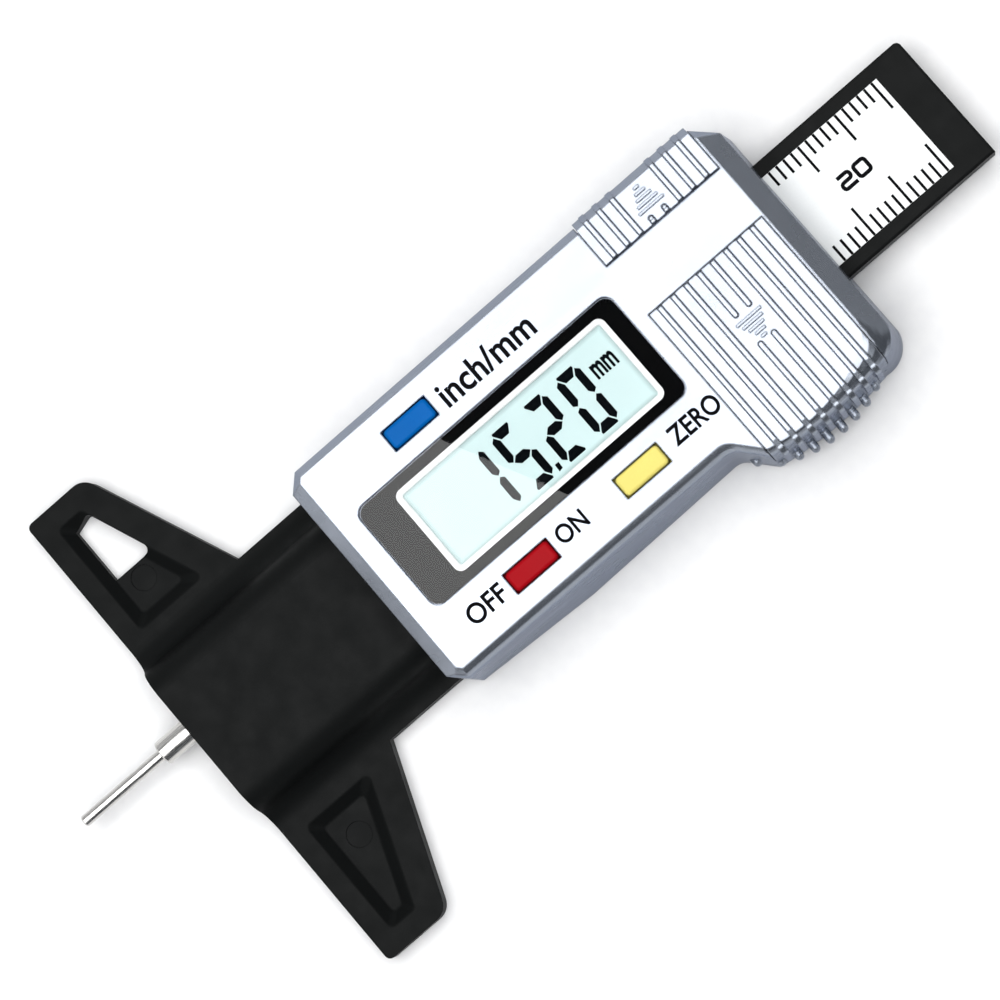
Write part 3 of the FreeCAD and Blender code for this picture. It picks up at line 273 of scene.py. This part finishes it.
def make_materials():
    """One material for each slot of the record, for the slide and lids, and for the marks."""
    made = {
        "black_plastic": moulded("black_abs", BLACK_ABS, rough=0.5, grain_mm=0.1, depth_mm=0.008,
                                 vary=0.05, Specular_IOR_Level=0.06),
        "slide_plastic": moulded("slide_abs", BLACK_ABS, rough=0.45, grain_mm=0.16, depth_mm=0.004,
                                 vary=0.05, Specular_IOR_Level=0.06),
        "silver_plastic": silver_lacquer("silver_cover", edge_mm=0.3),
        "silver_lids": silver_lacquer("silver_lids", edge_mm=0.22),
        "clear_lens": clear_acrylic(),
        "black_print": moulded("mask_ink", (0.002, 0.002, 0.002), rough=0.5, grain_mm=0.3,
                               depth_mm=0.0005, vary=0.3, edge_mm=0.02, Specular_IOR_Level=0.0),
        "white_plastic": moulded("white_frame", (0.85, 0.87, 0.87), rough=0.5, grain_mm=0.2,
                                 depth_mm=0.003, vary=0.04, edge_mm=0.1),
        "display_glass": display_glass(),
        "silicone": moulded("grey_silicone", (0.12, 0.12, 0.13), rough=0.6, grain_mm=0.4,
                            depth_mm=0.004),
        "board": moulded("solder_mask", (0.01, 0.11, 0.04), rough=0.35, grain_mm=0.8, vary=0.25,
                         edge_mm=0.05),
        "resin": moulded("potting_resin", (0.012, 0.012, 0.012), rough=0.25, grain_mm=0.9,
                         depth_mm=0.01, vary=0.2),
        "ceramic": moulded("ceramic_chips", (0.35, 0.26, 0.17), rough=0.5, grain_mm=0.3,
                           depth_mm=0.005, vary=0.2, edge_mm=0.05),
        "gold": metal("gold_plate", (0.83, 0.62, 0.25), rough=0.3),
        "blue_plastic": key_plastic("blue_key", (0.001, 0.11, 0.40), vary=0.08, specular=0.04),
        "yellow_plastic": key_plastic("yellow_key", (0.76, 0.66, 0.17), vary=0.05, specular=0.1),
        "red_plastic": key_plastic("red_key", (0.36, 0.003, 0.008), vary=0.08, specular=0.04),
        "steel": metal("probe_steel", (0.62, 0.61, 0.59), rough=0.22, stretch=(1, 0.05, 1), grain_mm=0.12),
        "cell_steel": metal("cell_nickel", (0.7, 0.7, 0.68), rough=0.22, stretch=(0.04, 1, 1),
                            grain_mm=0.12),
        "nylon": moulded("nylon_seal", (0.7, 0.69, 0.64), rough=0.5, grain_mm=0.3, depth_mm=0.004,
                         vary=0.05),
        "spring_bronze": metal("spring_bronze", (0.6, 0.42, 0.22), rough=0.3, stretch=(1, 0.1, 1)),
        "scale_print": moulded("scale_foil", (0.84, 0.86, 0.86), rough=0.42, grain_mm=0.25,
                               depth_mm=0.003, vary=0.03, edge_mm=0.05),
        "zinc": metal("zinc_screws", (0.42, 0.42, 0.44), rough=0.32, stretch=(1, 1, 0.3), grain_mm=0.2),
        "ink": moulded("black_ink", (0.004, 0.004, 0.005), rough=0.55, grain_mm=0.15, depth_mm=0.001,
                       vary=0.3, edge_mm=0.02, Specular_IOR_Level=0.02),
        "segments": moulded("lit_segments", (0.002, 0.003, 0.004), rough=0.5, grain_mm=0.4,
                            depth_mm=0.0005, vary=0.3, edge_mm=0.02, Specular_IOR_Level=0.0),
    }
    MATERIALS.update(made)


def paint(piece, name):
    piece.data.materials.clear()
    piece.data.materials.append(MATERIALS[name])
    for face in piece.data.polygons:
        face.material_index = 0


def paint_frame():
    """Gives each CAD node the material of its slot in the record."""
    for part in frame["record"]["subparts"]:
        node = frame["nodes"][part["node"]]
        slot = part["material_slot"]
        if part["node"] == "slide_bar":
            slot = "slide_plastic"
        if part["node"] in ("battery_cover", "port_cover"):
            slot = "silver_lids"
        if slot == "display_film":
            slot = "display_glass"
        paint(node, slot)


# ---------------------------------------------------------------- flat marks

def flat_piece(name, loops, height, body, material, thick=INK_THICK):
    """One mesh of thin raised marks. Each loop is a list of (x, y) in metres, in the row frame."""
    mesh = bpy.data.meshes.new(name)
    shape = bmesh.new()
    for loop in loops:
        low = [shape.verts.new((x, y, height)) for x, y in loop]
        high = [shape.verts.new((x, y, height + thick)) for x, y in loop]
        shape.faces.new(high)
        shape.faces.new(list(reversed(low)))
        for index in range(len(loop)):
            after = (index + 1) % len(loop)
            shape.faces.new((low[index], low[after], high[after], high[index]))
    bmesh.ops.recalc_face_normals(shape, faces=shape.faces)
    shape.to_mesh(mesh)
    shape.free()
    piece = bpy.data.objects.new(name, mesh)
    bpy.context.scene.collection.objects.link(piece)
    paint(piece, material)
    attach(piece, body)


def row_point(x_mm, y_mm):
    """A place measured in millimetres from the slide's centre line and the measuring face."""
    return (x_mm * MM, DATUM + y_mm * MM)


def upright(points, left_y, base_x):
    """Marks drawn as (along the text, up the text) turned to read along +Y with tops towards -X."""
    return [row_point(base_x - up, left_y + along) for along, up in points]


# Scale on the slide

FIRST_MARK = 97.6
SCALE_EDGE = 6.1
MARK_WIDE = 0.29


def scale_marks():
    loops = []
    last = int(FIRST_MARK - 22)
    for step in range(last):
        along = FIRST_MARK - step
        is_long = step % 5 == 0
        for side, length in ((-1, 3.45 if is_long else 1.78), (1, 3.7 if is_long else 2.0)):
            outer, inner = side * (SCALE_EDGE - 0.02), side * (SCALE_EDGE - length)
            low, high = along - MARK_WIDE / 2, along + MARK_WIDE / 2
            loops.append([row_point(outer, low), row_point(inner, low),
                          row_point(inner, high), row_point(outer, high)])
    flat_piece("scale_marks", loops, SCALE_TOP, "slide", "ink")


def rounded_path(points, radius, steps=6):
    """The open path through points with each inner corner rounded."""
    path = [Vector(points[0])]
    for before, corner, after in zip(points, points[1:], points[2:]):
        corner = Vector(corner)
        into = (Vector(before) - corner).normalized() * radius
        out = (Vector(after) - corner).normalized() * radius
        for step in range(steps + 1):
            share = step / steps
            path.append(corner + into * (1 - share) ** 2 + out * share ** 2)
    path.append(Vector(points[-1]))
    return path


def stroke(path, width, closed=False):
    """Quads that follow a path, width wide."""
    count = len(path)
    sides = []
    for index, point in enumerate(path):
        before = path[index - 1] if closed or index > 0 else point
        after = path[(index + 1) % count] if closed or index < count - 1 else point
        run = (after - before).normalized()
        across = Vector((-run.y, run.x)) * width / 2
        sides.append((point + across, point - across))
    last = count if closed else count - 1
    quads = []
    for index in range(last):
        left, right = sides[index]
        next_left, next_right = sides[(index + 1) % count]
        quads.append([tuple(left), tuple(right), tuple(next_right), tuple(next_left)])
    return quads


DIGIT_WIDE, DIGIT_HIGH, DIGIT_STROKE = 1.45, 1.5, 0.42


def scale_digit(digit):
    """A squared digit as strokes in its own box."""
    wide, high, middle, radius = DIGIT_WIDE, DIGIT_HIGH, DIGIT_HIGH / 2, 0.38
    if digit == "0":
        ring = [(wide / 2, 0), (wide, 0), (wide, high), (0, high), (0, 0), (wide / 2, 0)]
        return stroke(rounded_path(ring, radius), DIGIT_STROKE)
    if digit == "1":
        stem = wide * 0.62
        flag = [Vector((wide * 0.3, high)), Vector((stem, high))]
        post = [Vector((stem, high + DIGIT_STROKE / 2)), Vector((stem, -DIGIT_STROKE / 2))]
        return stroke(flag, DIGIT_STROKE) + stroke(post, DIGIT_STROKE)
    two = [(0, high), (wide, high), (wide, middle), (0, middle), (0, 0), (wide + DIGIT_STROKE / 2, 0)]
    return stroke(rounded_path(two, radius), DIGIT_STROKE)


def scale_numbers():
    loops = []
    pitch = DIGIT_WIDE + 0.62
    for number, centre in (("20", 90.15), ("10", 80.15), ("0", 70.15)):
        start = centre - (len(number) - 1) * pitch / 2 - DIGIT_WIDE / 2
        for index, digit in enumerate(number):
            for quad in scale_digit(digit):
                loops.append(upright(quad, start + index * pitch, DIGIT_HIGH / 2 - 0.1))
    flat_piece("scale_numbers", loops, SCALE_TOP, "slide", "ink")


# Liquid crystal digits

CELL_WIDE, CELL_HIGH = 3.1, 7.5
FLAT_THICK, SIDE_THICK, CELL_GAP = 1.06, 0.86, 0.1


def segment_shapes():
    """The seven segments' outlines in a digit's own box, named as on any seven-segment display."""
    wide, high, middle = CELL_WIDE, CELL_HIGH, CELL_HIGH / 2
    tip = SIDE_THICK / 2
    top = [(0.55, high), (wide - 0.55, high), (wide - 0.5, high - 0.22), (wide - 1.05, high - FLAT_THICK),
           (1.05, high - FLAT_THICK), (0.5, high - 0.22)]
    bottom = [(x, high - y) for x, y in reversed(top)]
    half = FLAT_THICK / 2
    across = [(0.5, middle), (1.05, middle + half), (wide - 1.05, middle + half), (wide - 0.5, middle),
              (wide - 1.05, middle - half), (1.05, middle - half)]
    right_high = [(wide - tip, high - 0.4), (wide, high - 0.8), (wide, middle + 0.4),
                  (wide - tip, middle + CELL_GAP), (wide - SIDE_THICK, middle + half + 0.1),
                  (wide - SIDE_THICK, high - FLAT_THICK)]
    left_high = [(wide - x, y) for x, y in reversed(right_high)]
    right_low = [(x, high - y) for x, y in reversed(right_high)]
    left_low = [(x, high - y) for x, y in reversed(left_high)]
    return {"a": top, "b": right_high, "c": right_low, "d": bottom,
            "e": left_low, "f": left_high, "g": across}


LIT = {"1": "bc", "5": "afgcd", "2": "abged", "0": "abcdef"}
READING = (("1", 39.7), ("5", 43.98), ("2", 48.33), ("0", 52.70))
DIGIT_FOOT = 4.1


def reading():
    shapes = segment_shapes()
    loops = []
    for digit, start in READING:
        for name in LIT[digit]:
            loops.append(upright(shapes[name], start, DIGIT_FOOT))
    point = [(0, 0), (0.5, 0.1), (0.55, 0.85), (0.05, 0.85)]
    loops.append(upright(point, 47.38, DIGIT_FOOT - 0.05))
    flat_piece("lcd_reading", loops, GLASS_TOP + 0.01 * MM, "housing", "segments")


# Lettering

def lettering(name, text, low_y, high_y, top_x, foot_x, height, body, material, bold=0.02):
    """Text stretched to fill a rectangle, reading along +Y with its tops towards -X."""
    curve = bpy.data.curves.new(name, "FONT")
    curve.body = text
    curve.offset = bold
    curve.extrude = 0.5
    curve.resolution_u = 6
    drawn = bpy.data.objects.new(name, curve)
    bpy.context.scene.collection.objects.link(drawn)
    bpy.context.view_layer.update()
    mesh = bpy.data.meshes.new_from_object(drawn.evaluated_get(bpy.context.evaluated_depsgraph_get()))
    bpy.data.objects.remove(drawn)
    xs = [v.co.x for v in mesh.vertices]
    ys = [v.co.y for v in mesh.vertices]
    left, wide = min(xs), max(xs) - min(xs)
    foot, high = min(ys), max(ys) - min(ys)
    for vertex in mesh.vertices:
        along = low_y + (vertex.co.x - left) / wide * (high_y - low_y)
        up = foot_x + (vertex.co.y - foot) / high * (top_x - foot_x)
        x, y = row_point(up, along)
        vertex.co = (x, y, height + (vertex.co.z + 0.5) * INK_THICK)
    piece = bpy.data.objects.new(name, mesh)
    bpy.context.scene.collection.objects.link(piece)
    paint(piece, material)
    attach(piece, body)


LABELS = {
    "label_inch_mm": ("inch/mm", 43.1, 55.1, -10.95, -8.1),
    "label_zero": ("ZERO", 58.1, 64.3, 8.05, 10.2),
    "label_on": ("ON", 42.8, 46.45, 8.2, 10.25),
    "label_off": ("OFF", 30.6, 35.3, 8.4, 10.6),
}


def labels():
    for name, (text, low_y, high_y, top_x, foot_x) in LABELS.items():
        lettering(name, text, low_y, high_y, top_x, foot_x, COVER_TOP, "housing", "ink")
    lettering("lcd_unit", "mm", 56.5, 59.35, -2.1, -0.4, GLASS_TOP + 0.01 * MM, "housing", "segments", 0.03)


# ---------------------------------------------------------------- stage and light

def floor():
    mesh = bpy.data.meshes.new("floor")
    reach = 1.5
    corners = [(-reach, -reach, 0), (reach, -reach, 0), (reach, reach, 0), (-reach, reach, 0)]
    mesh.from_pydata(corners, [], [(0, 1, 2, 3)])
    plane = bpy.data.objects.new("floor", mesh)
    bpy.context.scene.collection.objects.link(plane)
    nodes = Nodes("floor_paper")
    fibre = nodes.spread(nodes.noise(1.5, 3), 0, 1)
    paper = nodes.mix(fibre, (0.86, 0.86, 0.865), (0.89, 0.89, 0.89))
    nodes.link(paper, nodes.shader.inputs["Base Color"])
    nodes.set(Roughness=0.9)
    mesh.materials.append(nodes.material)


def area_light(name, wide, deep, radiance, place):
    """A flat light that shines along its own -Z. place is its matrix."""
    light = bpy.data.lights.new(name, "AREA")
    light.shape = "RECTANGLE"
    light.size, light.size_y = wide, deep
    light.energy = radiance * math.pi * wide * deep
    lamp = bpy.data.objects.new(name, light)
    bpy.context.scene.collection.objects.link(lamp)
    lamp.matrix_world = place


def sheet_light(name, low, high, height, radiance, turn=0.0):
    """A flat light that shines down, between two corners seen from above."""
    centre = Vector(((low[0] + high[0]) / 2, (low[1] + high[1]) / 2, height))
    place = Matrix.Translation(centre) @ Matrix.Rotation(turn, 4, "Z")
    area_light(name, high[0] - low[0], high[1] - low[1], radiance, place)


BOX_HEIGHT, BOX_REACH, BOX_BRIGHT = 0.6, 0.32, 3.9


def overhead_light():
    """A broad soft box with a dark gap in it, which is what the lens mirrors to the camera."""
    eye = bpy.context.scene.camera.location
    low_lens, high_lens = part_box("display_lens")
    rise = (BOX_HEIGHT - high_lens.z) / (eye.z - high_lens.z)
    margin = 0.014
    gap_low = [low_lens[axis] + (low_lens[axis] - eye[axis]) * rise - margin for axis in (0, 1)]
    gap_high = [high_lens[axis] + (high_lens[axis] - eye[axis]) * rise + margin for axis in (0, 1)]
    reach = BOX_REACH
    sheet_light("soft_box_left", (-reach, -reach), (gap_low[0], gap_high[1]), BOX_HEIGHT, BOX_BRIGHT)
    sheet_light("soft_box_far", (-reach, gap_high[1]), (gap_high[0], reach), BOX_HEIGHT, BOX_BRIGHT)
    sheet_light("soft_box_right", (gap_high[0], gap_low[1]), (reach, reach), BOX_HEIGHT, BOX_BRIGHT)
    sheet_light("soft_box_near", (gap_low[0], -reach), (reach, gap_low[1]), BOX_HEIGHT, BOX_BRIGHT)


CARD_SIZE, CARD_BRIGHT = 0.16, 3.0


def lens_card():
    """A bright card whose mirror image lies slantwise over the lower part of the lens."""
    eye = bpy.context.scene.camera.location
    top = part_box("display_lens")[1].z
    left, right = (Vector((*row_point(x, y), top)) for x, y in ((-6.5, 40.3), (6.5, 46.6)))
    ends = [Vector((2 * p.x - eye.x, 2 * p.y - eye.y, eye.z)) for p in (left, right)]
    along = (ends[1] - ends[0]).normalized()
    outward = Vector((along.y, -along.x, 0))
    centre = (ends[0] + ends[1]) / 2 + outward * CARD_SIZE / 2
    half = CARD_SIZE / 2
    sheet_light("lens_card", (centre.x - half, centre.y - half), (centre.x + half, centre.y + half),
                eye.z, CARD_BRIGHT, math.atan2(along.y, along.x))


TENT_AWAY = 0.85

# Name: direction, width, lower edge, upper edge, brightness. Lengths are in metres.
TENT_SHEETS = {
    "tent_end": ((0, 1), 0.6, 0.17, 0.42, 0.42),
    "tent_left": ((-1, 0), 1.5, 0.02, 0.85, 0.6),
    "tent_front": ((0, -1), 1.5, 0.02, 0.85, 0.5),
    "tent_right": ((1, 0), 1.2, 0.02, 0.6, 0.08),
}


def tent():
    """Dim upright sheets round the object, which its slopes and its sides mirror."""
    for name, (toward, wide, low, top, radiance) in TENT_SHEETS.items():
        outward = Vector((*toward, 0))
        centre = outward * TENT_AWAY + Vector((0, 0, (low + top) / 2))
        facing = outward.to_track_quat("Z", "Y").to_matrix().to_4x4()
        area_light(name, wide, top - low, radiance, Matrix.Translation(centre) @ facing)


def studio():
    """A dim room round the lights."""
    world = bpy.data.worlds.new("studio")
    bpy.context.scene.world = world
    world.use_nodes = True
    backdrop = world.node_tree.nodes["Background"]
    backdrop.inputs["Color"].default_value = (0.75, 0.85, 1.0, 1)
    backdrop.inputs["Strength"].default_value = 0.06


aim_camera()
make_materials()
paint_frame()
scale_marks()
scale_numbers()
reading()
labels()
floor()
overhead_light()
lens_card()
tent()
studio()
